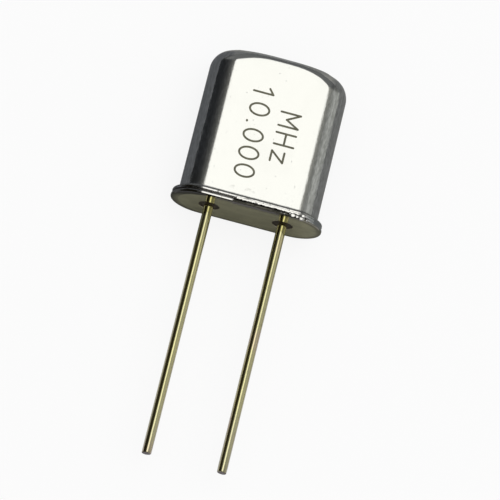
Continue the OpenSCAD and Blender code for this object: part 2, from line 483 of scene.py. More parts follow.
def finished(material, tone, roughness, relief, depth, others=None):
    """The material with one shader, metal unless others say more, and a relief of depth mm"""
    normal = node(tone.tree, "Bump", {"Strength": 1.0, "Distance": depth * MM, "Height": relief})
    inputs = {"Base Color": tone, "Roughness": roughness, "Normal": normal}
    inputs.update(others or {"Metallic": 1.0})
    return ended(material, node(tone.tree, "BsdfPrincipled", inputs))


def can_metal(finishes, can):
    """Satin nickel: plain on the faces, duller with draw lines at the ends, bright at the flange;
    darker at the ends and top rounding as painted reflection, with painted shade in the flare
    """
    material, place, (x, y, z) = new_material("satin_nickel")
    half_track, top_height = can.half_track / MM, CAN_HIGH.y / MM
    lines = place.noise(6.0, 0.18, 6.0, detail=4.0, rough=0.6)
    skin = place.noise(11.0, 3.2, 11.0, detail=1.5, rough=0.5)
    grain = place.noise(16.0, 12.0, 16.0)
    soot_and_shade_noise = place.noise(3.0, 4.0, 3.0, detail=4.0, rough=0.65)
    specks = place.noise(9.0, 7.0, 9.0, detail=2.0, rough=0.4).ramp(0.69, 0.76)
    chips = place.noise(3.3, 5.0, 3.3, detail=2.0, rough=0.5).ramp(0.57, 0.66, 0.0, 0.6)
    clouds = place.noise(0.7, 0.5, 0.7).ramp(0.45, 0.75, 0.0, 0.07)

    ends = abs(x).ramp(half_track + 0.12, half_track + 0.5)
    top = y.ramp(top_height - 0.45, top_height - 0.08)
    # The ends and the top rounding take the ends' tone: duller drawn metal, darkened further as
    # painted reflection
    dull_and_shaded = ends.or_more(top * 0.8)
    flange = y.ramp(0.46, 0.42)
    ragged = place.noise(2.2, 5.0, 2.2) * flange

    # A smear of weld soot low on the marked face, and painted shade in the flare just above the
    # flange, broken up by noise
    smear = abs(x + 0.5).ramp(1.0, 0.3) * abs(y - 0.88).ramp(0.15, 0.0)
    smear = smear * soot_and_shade_noise.ramp(0.45, 0.62) * z.ramp(0.0, 1.0)
    corner = y.ramp(0.61, 0.54) * y.ramp(0.42, 0.46) * soot_and_shade_noise.ramp(0.3, 0.7, 0.15, 0.6)
    soot_and_shade = (smear * 0.27).or_more(corner)

    tone = layered(
        finishes.face,
        (dull_and_shaded, finishes.ends),
        (flange, finishes.flange),
        # Painted reflection: the flange's two ends darker
        (flange * x.ramp(-2.3, -2.65, 0.0, 0.8), LEFT_END_PAINTED_REFLECTION),
        (flange * x.ramp(2.75, 3.1, 0.0, 0.9), RIGHT_END_PAINTED_REFLECTION),
        (flange * chips, (0.10, 0.098, 0.085)),
        (lines.ramp(0.35, 0.68) * dull_and_shaded * 0.3, (0.72, 0.73, 0.72)),
        (skin.ramp(0.3, 0.7) * (dull_and_shaded * 0.62), (0.27, 0.28, 0.27)),
        (clouds, (0.5, 0.5, 0.46)),
        (specks * 0.35, (0.25, 0.25, 0.24)),
        (soot_and_shade, (0.16, 0.155, 0.14)),
    )
    roughness = grain.ramp(0.3, 0.7, 0.09, 0.15) + soot_and_shade * 0.3 + top * 0.1
    relief = lines * (dull_and_shaded * 1.6) + grain * 0.18 + skin * dull_and_shaded.ramp(0.0, 0.3, 0.25, 1.7)
    return finished(material, tone, roughness, relief + ragged * 9.0, 0.0022)


def plate_metal(finishes, can):
    """Plated nickel-iron: bright, clouded and scratched, with painted shade round the rim and along
    its lower edge, and soot from the weld
    """
    material, place, (x, y, z) = new_material("olive_nickel_iron")
    edge_reach = PLATE_HIGH.z / MM
    clouds = place.noise(0.9, 0.9, 1.6, detail=4.0, rough=0.6)
    scratches = place.noise(0.6, 6.0, 14.0)
    specks = place.noise(10.0, 10.0, 10.0, detail=2.0, rough=0.4).ramp(0.66, 0.74)
    ragged = place.noise(3.6, 6.0, 6.0, rough=0.6)
    blotches = place.noise(2.6, 5.0, 5.0, detail=2.0, rough=0.5).ramp(0.42, 0.56)
    lumps = place.noise(5.0, 6.0, 5.0, rough=0.6)

    # How far a point lies from the middle line of the track, and the painted shade there: a darker
    # rim and a dark line along the lower edge, wider at the left end
    past_end = (abs(x) - can.half_track / MM).or_more(0.0)
    reach = (past_end**2.0 + abs(z) ** 2.0).calculate("SQRT")
    rim = reach.ramp(edge_reach - 0.36, edge_reach - 0.1)
    edge = y.ramp(0.015, 0.08)
    line_reach = reach + x.ramp(-2.0, -2.7, 0.0, 0.3)
    painted_edge_shade = line_reach.ramp(edge_reach - 0.13, edge_reach - 0.05) * y.ramp(0.055, 0.035)
    painted_edge_shade = painted_edge_shade * z.ramp(0.2, 0.9, 0.35, 0.9) * x.ramp(2.3, 2.7, 1.0, 0.15)

    # Soot from the weld at the front right: over the edge and the outermost part of the underside
    along = x + ragged * 0.5
    band = (z + ragged * 0.34).ramp(edge_reach - 0.34, edge_reach + 0.1)
    band = along.ramp(-0.66, -0.52) * along.ramp(2.0, 1.7) * band
    flecks = along.ramp(1.5, 1.9) * along.ramp(3.3, 3.0) * z.ramp(0.8, 1.0)
    soot = band.or_more(flecks * edge * ragged.ramp(0.56, 0.49))
    crust = layered((0.018, 0.017, 0.012), (blotches, (0.075, 0.07, 0.056)))

    tone = layered(
        finishes.plate,
        (clouds.ramp(0.3, 0.7), shade(finishes.plate, 0.78)),
        # The darker rim and the dark edge line are painted shade
        (rim * 0.72, (0.224, 0.21, 0.14)),
        (edge, finishes.flange),
        (painted_edge_shade, (0.03, 0.03, 0.025)),
        # Painted reflection: the edge's two ends darker, as on the can's rim
        (edge * x.ramp(-2.3, -2.65, 0.0, 0.8), LEFT_END_PAINTED_REFLECTION),
        (edge * x.ramp(2.85, 3.2, 0.0, 0.9), RIGHT_END_PAINTED_REFLECTION),
        (specks * 0.5, (0.25, 0.24, 0.18)),
        (soot * 0.98, layered((0.19, 0.18, 0.145), (edge, crust))),
    )
    roughness = (clouds + scratches * 0.4).ramp(0.45, 0.95, 0.035, 0.08) + soot * 0.3
    relief = scratches + clouds * 3.0 + lumps * soot * 30.0
    return finished(material, tone, roughness, relief, 0.0006)


def bead_glass(finishes):
    """Dark brown sealing glass with a few bubbles under a fire-polished skin"""
    material, place, _ = new_material("brown_sealing_glass")
    swirl = place.noise(3.0, 3.0, 3.0, detail=4.0, rough=0.6)
    bubbles = place.noise(14.0, 14.0, 14.0, detail=1.0, rough=0.3).ramp(0.68, 0.74)
    tone = layered(
        finishes.glass,
        (swirl.ramp(0.35, 0.7), (0.034, 0.023, 0.013)),
        (bubbles * 0.6, (0.07, 0.05, 0.04)),
    )
    return finished(material, tone, swirl.ramp(0.3, 0.7, 0.28, 0.42), swirl, 0.006, {
        "IOR": 1.5, "Specular IOR Level": 0.26, "Specular Tint": (1.0, 0.93, 0.64, 1.0),
    })


def wire_metal(finishes):
    """Thin gold over drawn wire, with paler, warmer and scuffed patches and a bare end"""
    material, place, (_, y, _) = new_material("pale_gold_plate")
    tip = LEAD_LOW.y / MM
    lines = place.noise(7.0, 0.25, 7.0, detail=4.0, rough=0.6)
    patches = place.noise(1.2, 0.5, 1.2, detail=4.0, rough=0.6)
    scuffs = place.noise(9.0, 2.5, 9.0, rough=0.5).ramp(0.62, 0.72)
    warmer = place.noise(0.5, 0.42, 0.5, detail=2.0, rough=0.4).ramp(0.54, 0.66)
    cut = y.ramp(tip + 0.05, tip + 0.02)
    tone = layered(
        finishes.gold,
        (patches.ramp(0.35, 0.7), (0.65, 0.615, 0.345)),
        (y.ramp(tip + 5, tip) * 0.5, (0.68, 0.65, 0.43)),
        (scuffs * 0.45, (0.36, 0.33, 0.20)),
        (warmer * 0.7, (0.74, 0.61, 0.42)),
        (cut, (0.14, 0.12, 0.07)),
    )
    roughness = (lines + patches).ramp(0.7, 1.3, 0.08, 0.15) + cut * 0.2
    return finished(material, tone, roughness, lines + patches * 1.5, 0.0025)


def weld_metal(finishes):
    """Metal that melted and froze: lumpy, part bright and part oxidised"""
    material, place, (x, y, _) = new_material("weld_flash_metal")
    lumps = place.noise(7.0, 7.0, 7.0, detail=4.0, rough=0.6)
    crust = place.noise(3.2, 5.0, 3.2, detail=4.0, rough=0.65) - x.ramp(1.3, 2.1, 0.0, 0.22)
    wavy = y + place.noise(1.9, 0.4, 1.9, rough=0.6) * 0.3
    oxide = crust.ramp(0.24, 0.42) * x.ramp(2.3, 2.6, 1.0, 0.25) * wavy.ramp(0.355, 0.325)
    oxide = oxide.or_more(x.ramp(-0.7, -0.95, 0.0, 0.9))
    tone = layered(
        finishes.weld,
        (oxide * 0.95, (0.045, 0.036, 0.03)),
        # Painted reflection: the flash's right end darker, as on the rims
        (x.ramp(2.75, 3.1, 0.0, 0.9), RIGHT_END_PAINTED_REFLECTION),
    )
    return finished(material, tone, oxide.ramp(0.0, 1.0, 0.12, 0.42), lumps, 0.003)


def marking_ink(finishes):
    """Figures cut by a laser: matt dark oxide, uneven along the stroke"""
    material, place, _ = new_material("marking_oxide")
    uneven = place.noise(5.0, 5.0, 5.0, detail=4.0, rough=0.65)
    tone = layered(finishes.marking, (uneven.ramp(0.35, 0.72), (0.17, 0.165, 0.115)))
    roughness = uneven.ramp(0.3, 0.7, 0.45, 0.7)
    return finished(material, tone, roughness, uneven, 0.004, {"Specular IOR Level": 0.3})


def inner_metal(name, light, dark, waves, roughness, depth):
    """A plain metal for the pieces inside, with a grain of that many waves per millimetre"""
    material, place, _ = new_material(name)
    grain = place.noise(*waves, detail=4.0, rough=0.6)
    tone = layered(light, (grain.ramp(0.3, 0.7), dark))
    return finished(material, tone, grain.ramp(0.3, 0.7, *roughness), grain, depth)


def lapped_quartz():
    """Clear quartz with finely lapped faces, which scatter the light that they let through"""
    material, place, _ = new_material("lapped_quartz")
    grain = place.noise(25.0, 25.0, 25.0)
    tone = layered((0.90, 0.95, 0.97), (grain, (0.97, 0.99, 1.0)))
    return finished(material, tone, grain.ramp(0.3, 0.7, 0.18, 0.3), grain, 0.0008, {
        "IOR": 1.544, "Transmission Weight": 0.9,
    })


# ---- can


def face_depth(can, x, y):
    """How far a face lies in at (x, y): a shallow dish, deepest at the middle, with two slow waves.

    The dish falls to nothing at the ends of the straight and at the top and bottom of the wall.
    """
    low = CAN_LOW.y + can.flange + can.flare
    high = CAN_HIGH.y - can.middle_round
    across = np.clip(1 - (x / can.half_track) ** 2, 0, 1)
    along = np.clip((y - low) / (high - low), 0, 1)
    window = across**1.5 * np.sin(pi * along) ** 2
    waves = 1 + 0.18 * np.sin(x / (0.55 * MM) + 0.8) * np.sin(y / (0.9 * MM))
    return can.dish * window * waves


def can_section(can, rounding):
    """Closed section of the can, from the middle of its top down the outside and up the inside.

    Top, top rounding, wall, flare, flange, trimmed edge, mouth, and the same one wall's
    thickness further in. rounding is the radius of the top edge at each station.
    """
    reach, foot, top = can.depth / 2, CAN_LOW.y, CAN_HIGH.y
    lip, lip_top = reach + can.overhang, foot + can.flange
    inside, ceiling = reach - can.wall, top - can.wall
    inner_rounding = np.maximum(rounding - can.wall, 0.05 * MM)
    edge, flare, mouth = can.edge, can.flare, can.mouth
    return chain([
        line((0, top), (reach - rounding, top), 8),
        bow((reach - rounding, top - rounding), rounding, 90, 0, 22),
        line((reach, top - rounding), (reach, lip_top + flare), 44),
        bow((reach + flare, lip_top + flare), flare, 180, 270, 12),
        line((reach + flare, lip_top), (lip - edge, lip_top), 3),
        bow((lip - edge, lip_top - edge), edge, 90, 0, 7),
        bow((lip - edge, foot + edge), edge, 0, -90, 7),
        line((lip - edge, foot), (inside + mouth, foot), 5),
        bow((inside + mouth, foot + mouth), mouth, 270, 180, 8),
        line((inside, foot + mouth), (inside, ceiling - inner_rounding), 20),
        bow((inside - inner_rounding, ceiling - inner_rounding), inner_rounding, 0, 90, 10),
        line((inside - inner_rounding, ceiling), (0, ceiling), 5),
    ], len(rounding))


def trimmed(can, reach, height):
    """The can's section with its flange's edge a little uneven, in reach and on its underside"""
    around = full_turn(len(reach))
    rng = np.random.default_rng(EDGE_SEED)
    uneven = ripple(around, rng, waves=14, lowest=9, highest=70)[:, None]
    on_flange = smooth_step(reach, can.depth / 2 + can.flare, can.depth / 2 + can.overhang)
    reach = reach - on_flange * (0.006 + 0.006 * uneven) * MM
    lower_lip = smooth_step(-height, -(CAN_LOW.y + 0.6 * can.flange), -CAN_LOW.y)
    rng = np.random.default_rng(LIP_SEED)
    wavy = ripple(around, rng, waves=18, lowest=20, highest=95)[:, None]
    return reach, height - on_flange * lower_lip * wavy * 0.006 * MM


class CRYSTAL_OT_can(bpy.types.Operator):
    """Draws the can: one section carried round a race track, its top rounded more at the ends"""

    bl_idname = "crystal.can"
    bl_label = "Draw the can"

    def execute(self, context):
        can, finishes = context.scene.crystal.can, context.scene.crystal.finishes
        stations = track(can.half_track, bend_steps=72, straight_steps=64)
        middle, out_x, _ = (value[:, None] for value in stations)
        share = (middle + out_x * can.depth / 2) / can.half_track
        growth = can.end_round - can.middle_round
        rounding = can.middle_round + growth * np.tanh(0.75 * np.abs(share) ** 3.2)
        rounding = rounding + can.shoulder * smooth_step(share, 0.84, 1.1)
        reach, height = can_section(can, rounding)
        reach = reach - face_depth(can, middle, height) * (np.abs(out_x) < 0.5)
        points = carried(trimmed(can, reach, height), stations)
        add_swept("can_shell", points, can_metal(finishes, can), "can_metal", "can")
        return {"FINISHED"}


# ---- base plate


def half_outline(half_track, bend_steps, straight_steps, seam_steps):
    """Stations round the right half of a race track: back straight, end, front straight, seam.

    On the seam at X = 0 the outward direction shrinks from +Z to -Z, so the same reach gives
    points on the line between the two straights. The count of stations on the outline comes last.
    """
    run = np.linspace(0, 1, straight_steps, endpoint=False) * half_track
    bend = np.linspace(-pi / 2, pi / 2, bend_steps, endpoint=False)
    seam = np.linspace(1, -1, seam_steps, endpoint=False)
    middle = np.concatenate([run, np.full(bend_steps, half_track), half_track - run, 0 * seam])
    out_x = np.concatenate([0 * run, np.cos(bend), 0 * run, 0 * seam])
    out_z = np.concatenate([0 * run - 1, np.sin(bend), 0 * run + 1, seam])
    return (middle, out_x, out_z), len(middle) - len(seam) + 1


def plate_side(plate, reach, top, weld_gap):
    """Section of the stamping from its underside's edge over flange and weld ridge up the boss"""
    edge, thick, boss, boss_edge = plate.edge, plate.flange, plate.boss_reach, plate.boss_edge
    outer = plate.ridge_middle + plate.ridge_width / 2
    inner = plate.ridge_middle - plate.ridge_width / 2
    return [
        bow((reach - edge, edge), edge, -90, 0, 8),
        bow((reach - edge, thick - edge), edge, 0, 90, 8),
        line((reach - edge, thick), (outer, thick), 4),
        line((outer, thick + weld_gap), (inner, thick + weld_gap), 3),
        line((inner, thick), (boss, thick), 3),
        line((boss, thick), (boss, top - boss_edge), 6),
        bow((boss - boss_edge, top - boss_edge), boss_edge, 0, 90, 8),
    ]


class CRYSTAL_OT_base_plate(bpy.types.Operator):
    """Draws the base plate in halves: rays from each hole to the outline, and the side round it"""

    bl_idname = "crystal.base_plate"
    bl_label = "Draw the base plate"

    def execute(self, context):
        can, plate = context.scene.crystal.can, context.scene.crystal.plate
        stations, outline_count = half_outline(
            can.half_track, bend_steps=72, straight_steps=32, seam_steps=24
        )
        hole_radius, hole_edge = (BEAD_HIGH.x - BEAD_LOW.x) / 2, plate.hole_edge
        top, reach = PLATE_HIGH.y, PLATE_HIGH.z
        side = plate_side(plate, reach, top, CAN_LOW.y - plate.flange)
        rim = carried(chain(side, len(stations[0])), stations)

        # Points round the hole lie on the rays to the outline of the underside
        away = rim[:, 0, [0, 2]] - (-LEAD_X, 0)
        away /= np.linalg.norm(away, axis=1, keepdims=True)

        def ring(radius, height):
            """Points of the rays at radius from the hole's axis, at one height"""
            x, z = radius * away.T
            return np.stack([x - LEAD_X, np.full(len(away), height), z], -1)

        lower_edge = np.stack([
            ring(hole_radius + hole_edge * (1 - cos(turn)), hole_edge * (1 - sin(turn)))
            for turn in np.radians(np.linspace(0, 90, 5))
        ])
        across = smooth_step(np.linspace(0, 1, 14), -0.4, 1.4)
        across = ((across - across[0]) / (across[-1] - across[0]))[:, None, None]
        inner = ring(hole_radius + hole_edge, 0.0)
        underside = inner + (rim[:, 0] - inner) * across
        inward = np.linspace(0, 1, 6)[:, None, None]
        boss_top = rim[:, -1] + (ring(hole_radius, top) - rim[:, -1]) * inward
        wall = np.stack([ring(hole_radius, height) for height in np.linspace(top, hole_edge, 8)])
        rows = np.concatenate([lower_edge, underside, rim.transpose(1, 0, 2), boss_top, wall])
        faces = grid_faces(*rows.shape[:2]).reshape(rows.shape[0] - 1, rows.shape[1], 4)

        # The side profile isn't carried along the seam, where the two halves meet in solid metal
        first_side = len(lower_edge) + len(underside)
        last_side = first_side + rim.shape[1] - 1
        keep = np.ones(faces.shape[:2], bool)
        keep[first_side:last_side, outline_count - 1:] = False
        half_faces, points = faces[keep], rows.reshape(-1, 3)
        add_piece(
            "base_plate_stamping", np.concatenate([points, points * (-1, 1, 1)]),
            np.concatenate([half_faces, half_faces[:, ::-1] + len(points)]),
            plate_metal(context.scene.crystal.finishes, can), "base_metal", "base_plate",
        )
        return {"FINISHED"}


# ---- beads and leads


def bead_section(inner, outer, top, hollow):
    """Ring of glass between wire and plate, its two ends sunk in half a wave"""
    share = np.linspace(0, 1, 24)
    reach = inner + (outer - inner) * share
    sink = hollow * np.sin(pi * share**0.8) ** 0.8 + 0.004 * MM
    return np.concatenate([reach, reach[::-1]]), np.concatenate([sink, (top - sink)[::-1]])


def lead_section(leads, low, high):
    """Half section of a lead from the middle of its cut end, up the wire and over its flat head"""
    radius, corner = leads.diameter / 2, leads.chamfer
    sealed, head = radius - leads.plating, (LEAD_HIGH.x - LEAD_LOW.x) / 2
    boss_top, head_bottom = PLATE_HIGH.y, PLATE_HIGH.y + leads.rise
    return chain([
        line((0, low), (radius - corner, low), 8),
        bow((radius - corner, low + corner), corner, -90, 0, 7),
        line((radius, low + corner), (radius, 0), 260),
        line((sealed, 0), (sealed, boss_top), 12),
        line((radius, boss_top), (radius, head_bottom), 6),
        line((head, head_bottom), (head, high), 4),
        line((head, high), (0, high), 5),
    ], 1)


class CRYSTAL_OT_leads(bpy.types.Operator):
    """Draws the two wires: a section turned about each axis, with a slanted, pinched cut"""

    bl_idname = "crystal.leads"
    bl_label = "Draw the leads"

    def execute(self, context):
        leads = context.scene.crystal.leads
        metal = wire_metal(context.scene.crystal.finishes)
        section = lead_section(leads, LEAD_LOW.y, LEAD_HIGH.y)
        # Last in each row: the direction that the cut slants in, in radians from +X
        for side, axis, slant_turn in (("left", LEAD_X, 0.6), ("right", -LEAD_X, 2.3)):
            points = revolved(section, axis, steps=64)
            out_x, out_z = points[..., 0] - axis, points[..., 2]
            near_cut = smooth_step(-points[..., 1], -(LEAD_LOW.y + 0.5 * MM), -LEAD_LOW.y)
            lean = (out_x * cos(slant_turn) + out_z * sin(slant_turn)) / leads.diameter
            points[..., 1] += near_cut**3 * leads.slant * (lean + 0.5)
            points[..., 0] = axis + out_x * (1 - 0.05 * near_cut**2 * abs(sin(slant_turn)))
            add_swept(side + "_wire", points, metal, "lead_metal", side + "_lead")
        return {"FINISHED"}


class CRYSTAL_OT_beads(bpy.types.Operator):
    """Draws the two glass beads: a closed ring section turned about each lead"""

    bl_idname = "crystal.beads"
    bl_label = "Draw the glass beads"

    def execute(self, context):
        plate, leads = context.scene.crystal.plate, context.scene.crystal.leads
        glass = bead_glass(context.scene.crystal.finishes)
        outer = (BEAD_HIGH.x - BEAD_LOW.x) / 2
        inner = leads.diameter / 2 - leads.plating
        section = bead_section(inner, outer, BEAD_HIGH.y, plate.hollow)
        for side, axis in (("left", LEAD_X), ("right", -LEAD_X)):
            node_name, points = side + "_glass_bead", revolved(section, axis, steps=96)
            add_swept(side + "_bead", points, glass, "seal_glass", node_name, looped=True)
        return {"FINISHED"}


# ---- weld


def flash_amount(x, out_z, around, rng):
    """How much metal was squeezed out, 0 to 1: least at the front left, most at the front right"""
    front = smooth_step(out_z, 0.0, 0.6)
    lean = smooth_step(x, -1.0 * MM, -0.65 * MM)
    patches = 0.5 + 0.5 * ripple(around, rng, waves=9, lowest=4, highest=26)
    thinning = 1 - 0.35 * smooth_step(x, 1.5 * MM, 2.6 * MM)
    front_share = front * lean * thinning * (0.8 + 0.3 * patches)
    return np.clip(front_share + (1 - front) * 0.4 * patches, 0, 1)


def flash_section(weld, ridge, seam, swell, lumps, fused):
    """Closed section of the flash at each station: a flattened oval that narrows to the weld ridge.

    Its upper half grows with swell, and its lower half is lumpy and hangs lowest where it fused.
    """
    upper = seam + weld.thickness + weld.swell * swell
    hang = weld.swell * swell * (0.45 - 1.1 * lumps) - 0.08 * MM * fused
    lower = seam - weld.thickness + hang
    middle_reach = weld.reach + weld.lap * swell * (1 + 0.05 * (lumps - 0.5))
    bulge = weld.thickness * (1 + 0.2 * swell)
    turn = full_turn(32)[None, :]
    across = squared_off(np.cos(turn), FLAT_FRONT)
    upright = squared_off(np.sin(turn), FLAT_FRONT)
    inward = np.maximum(-across, 0)
    reach = middle_reach + bulge * np.maximum(across, 0) - (middle_reach - ridge) * inward
    height = (upper + lower) / 2 + (upper - lower) / 2 * upright
    return reach, height + (seam + weld.thickness * upright - height) * np.sqrt(inward)


def droplet_balls(half_track, rim, droplet, seam, rng):
    """Centre and three radii of every droplet on the trimmed edges, which rim is the reach of.

    Random small ones, one larger ball, and the splashes, flat against the edge.
    """
    count = RIGHT_DROPLETS + LOOSE_DROPLETS
    places = MM * np.concatenate([
        rng.uniform(0.2, 3.3, RIGHT_DROPLETS), rng.uniform(-3.3, 3.3, LOOSE_DROPLETS)
    ])
    side = np.concatenate([np.ones(RIGHT_DROPLETS), rng.choice([-1, 1], LOOSE_DROPLETS)])
    edge_reach = rng.uniform(-0.012, 0.004, count) * MM + rim
    levels = rng.uniform(0.12, 0.36, count) * MM
    sizes = droplet * rng.uniform(0.4, 1.35, count)
    past_track = np.clip((np.abs(places) - half_track) / edge_reach, 0, 0.95)
    sideways = np.arcsin(past_track) * np.sign(places)
    centre_x = np.clip(places, -half_track, half_track) + edge_reach * np.sin(sideways)
    small = np.stack([centre_x, levels, edge_reach * np.cos(sideways) * side], -1)
    large = np.array([[0.27 * MM, seam - 0.03 * MM, rim + 0.02 * MM]])
    splash_x, splash_y, splash_size = np.array(SPLASHES).T * MM
    splash_turn = np.arcsin(np.clip((splash_x - 0.4 * splash_size - half_track) / rim, 0, 1))
    splashes = np.stack([splash_x, splash_y, rim * np.cos(splash_turn)], -1)
    sizes = np.concatenate([sizes, [1.9 * droplet], splash_size])
    tall = np.concatenate([
        rng.uniform(0.8, 1.4, count), [1.5], rng.uniform(0.6, 0.75, len(splashes))
    ])
    stout = np.concatenate([np.full(count + 1, 0.8), 0.17 + 0.4 * splash_turn])
    spread = np.stack([np.ones(len(sizes)), tall, stout], -1) * sizes[:, None]
    return np.concatenate([small, large, splashes]), spread


def ball(rows, columns):
    """Points of a ball of radius 1, in rows from its top down, and the quads between them"""
    tilt, spin = np.meshgrid(np.linspace(0, pi, rows), full_turn(columns), indexing="ij")
    x, z = np.sin(tilt) * (np.cos(spin), np.sin(spin))
    return np.stack([x, np.cos(tilt), z], -1).reshape(-1, 3), grid_faces(rows, columns)


class CRYSTAL_OT_weld(bpy.types.Operator):
    """Draws the flash in the welded seam, an oval swept round the track unevenly, and droplets"""

    bl_idname = "crystal.weld"
    bl_label = "Draw the weld"

    def execute(self, context):
        crystal = context.scene.crystal
        can, plate, weld = crystal.can, crystal.plate, crystal.weld
        metal, rng = weld_metal(crystal.finishes), np.random.default_rng(WELD_SEED)
        seam = (plate.flange + CAN_LOW.y) / 2
        stations = track(can.half_track, bend_steps=220, straight_steps=320)
        around = full_turn(len(stations[0]))
        x = stations[0] + stations[1] * can.depth / 2
        swell = flash_amount(x, stations[2], around, rng)
        lumps = 0.5 + 0.5 * ripple(around, rng, waves=26, lowest=14, highest=120)
        fused = smooth_step(x, 2.6 * MM, 3.0 * MM) * smooth_step(stations[2], -0.2, 0.3)
        columns = (value[:, None] for value in (swell, lumps, fused))
        section = flash_section(weld, plate.ridge_middle, seam, *columns)
        points = carried(section, stations)
        add_swept("weld_flash", points, metal, "can_metal", looped=True, crease=60)

        centres, spread = droplet_balls(
            can.half_track, can.depth / 2 + can.overhang, weld.droplet, seam, rng
        )
        ball_points, ball_faces = ball(rows=9, columns=14)
        drops = centres[:, None, :] + ball_points * spread[:, None, :]
        first_points = np.arange(len(centres))[:, None, None] * len(ball_points)
        faces = (ball_faces + first_points).reshape(-1, 4)
        add_piece("weld_spatter", drops, faces, metal, "can_metal")
        return {"FINISHED"}


# ---- marking

# Strokes of a figure 1 high: straight ones as chains of points, ovals by centre and radii, and how
# far on the next figure starts
GLYPHS = {
    "0": ([], [((0.33, 0.5), (0.29, 0.46))], 0.90),
    "1": ([((0.12, 0.76), (0.38, 0.97), (0.38, 0.03))], [], 0.90),
    ".": ([((0.10, 0.05), (0.13, 0.05))], [], 0.42),
    "M": ([((0.04, 0.03), (0.04, 0.97), (0.38, 0.36), (0.72, 0.97), (0.72, 0.03))], [], 1.02),
    "H": ([((0.06, 0.03), (0.06, 0.97)), ((0.64, 0.03), (0.64, 0.97)),
           ((0.06, 0.5), (0.64, 0.5))], [], 0.94),
    "z": ([((0.06, 0.63), (0.56, 0.63), (0.06, 0.03), (0.56, 0.03))], [], 0.8),
}


def bar_path(start, end, radius):
    """Points from end to end, the direction there, and the share of full width: both ends round"""
    start, end = np.array(start), np.array(end)
    along = (end - start) / hypot(*(end - start))
    cap = np.radians(np.linspace(90, 0, 7))
    before = start - along * (radius * np.sin(cap))[:, None]
    after = end + along * (radius * np.sin(cap[::-1]))[:, None]
    body = start + (end - start) * np.linspace(0, 1, 9)[1:-1, None]
    share = np.concatenate([np.cos(cap), np.ones(len(body)), np.cos(cap[::-1])])
    return np.concatenate([before, body, after]), np.tile(along, (len(share), 1)), share


def oval_path(centre, radii):
    """Points round an oval, with the direction along it at each"""
    turn = full_turn(64)
    path = centre + np.stack([np.cos(turn), np.sin(turn)], -1) * radii
    along = np.stack([-np.sin(turn), np.cos(turn)], -1) * radii
    return path, along / np.linalg.norm(along, axis=1, keepdims=True), np.ones(len(turn))


class CRYSTAL_OT_marking(bpy.types.Operator):
    """Draws the marking: flat-topped strokes that lie on the dished face, read from the top down"""

    bl_idname = "crystal.marking"
    bl_label = "Draw the marking"

    def stroke(self, path, along, share, looped=False):
        """Points and quads of one stroke: a low oval section carried along the path."""
        can, marking = bpy.context.scene.crystal.can, bpy.context.scene.crystal.marking
        turn = full_turn(10)[None, :]
        sideways = np.stack([-along[:, 1], along[:, 0]], -1)
        lateral = np.cos(turn) * marking.stroke / 2 * share[:, None]
        across = path[:, None, :] * marking.height + sideways[:, None, :] * lateral[..., None]
        x, y = self.foot + across[..., 1], self.start - across[..., 0]
        rise = squared_off(np.sin(turn), 0.5) * marking.relief * share[:, None] ** 0.5
        points = np.stack([x, y, can.depth / 2 - face_depth(can, x, y) + rise], -1)
        return points.reshape(-1, 3), grid_faces(*points.shape[:2], looped=looped)

    def execute(self, context):
        marking = context.scene.crystal.marking
        ink = marking_ink(context.scene.crystal.finishes)
        cap_radius = marking.stroke / marking.height / 2
        for key in ("figures", "unit"):
            self.foot, self.start = (getattr(marking, key + end) for end in ("_foot", "_start"))
            strokes = []
            for letter in getattr(marking, key):
                chains, ovals, advance = GLYPHS[letter]
                bars = [bar for corners in chains for bar in zip(corners, corners[1:])]
                strokes += [self.stroke(*bar_path(*bar, cap_radius)) for bar in bars]
                strokes += [self.stroke(*oval_path(*oval), looped=True) for oval in ovals]
                self.start -= advance * marking.height
            counts = np.cumsum([0] + [len(points) for points, _ in strokes])
            points = np.concatenate([points for points, _ in strokes])
            faces = np.concatenate([faces + count for (_, faces), count in zip(strokes, counts)])
            add_piece("marking_" + key, points, faces, ink, "marking", crease=60)
        return {"FINISHED"}


# ---- inner parts


class CRYSTAL_OT_inner_parts(bpy.types.Operator):
    """Gives the resonator inside the can its metals, quartz and adhesive"""

    bl_idname = "crystal.inner_parts"
    bl_label = "Finish the inner parts"

    def execute(self, context):
        ribbon = inner_metal(
            "rolled_nickel_ribbon", (0.72, 0.71, 0.67), (0.55, 0.54, 0.5), (4.0, 0.6, 9.0),
            (0.2, 0.36), 0.002,
        )
        silver = inner_metal(
            "silver_film", (0.93, 0.92, 0.88), (0.84, 0.83, 0.78), (20.0,) * 3, (0.16, 0.3), 0.0008
        )
        epoxy = inner_metal(
            "silver_epoxy", (0.6, 0.6, 0.6), (0.36, 0.36, 0.36), (16.0,) * 3, (0.42, 0.62), 0.01
        )
        finishes = {
            "left_spring_clip": ribbon, "right_spring_clip": ribbon,
            "front_electrode": silver, "rear_electrode": silver,
            "left_adhesive": epoxy, "right_adhesive": epoxy,
            "quartz_blank": lapped_quartz(),
        }
        for name, material in finishes.items():
            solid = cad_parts[name]
            solid.data.materials.clear()
            solid.data.materials.append(material)
        return {"FINISHED"}


# ---- studio


def add_stage(name, points, material, closed=True):
    """A stage surface from a grid of points"""
    sheet = add_surface(name, points, grid_faces(*points.shape[:2], closed=closed), material)
    return sheet


def turned(section, steps):
    """Points of a section of (reach, height) pairs turned once about the Z axis"""
    reach, height = (np.array(value)[:, None] for value in zip(*section))
    turn = full_turn(steps)[None, :]
    return np.stack([reach * np.cos(turn), reach * np.sin(turn), height + 0 * turn], -1)


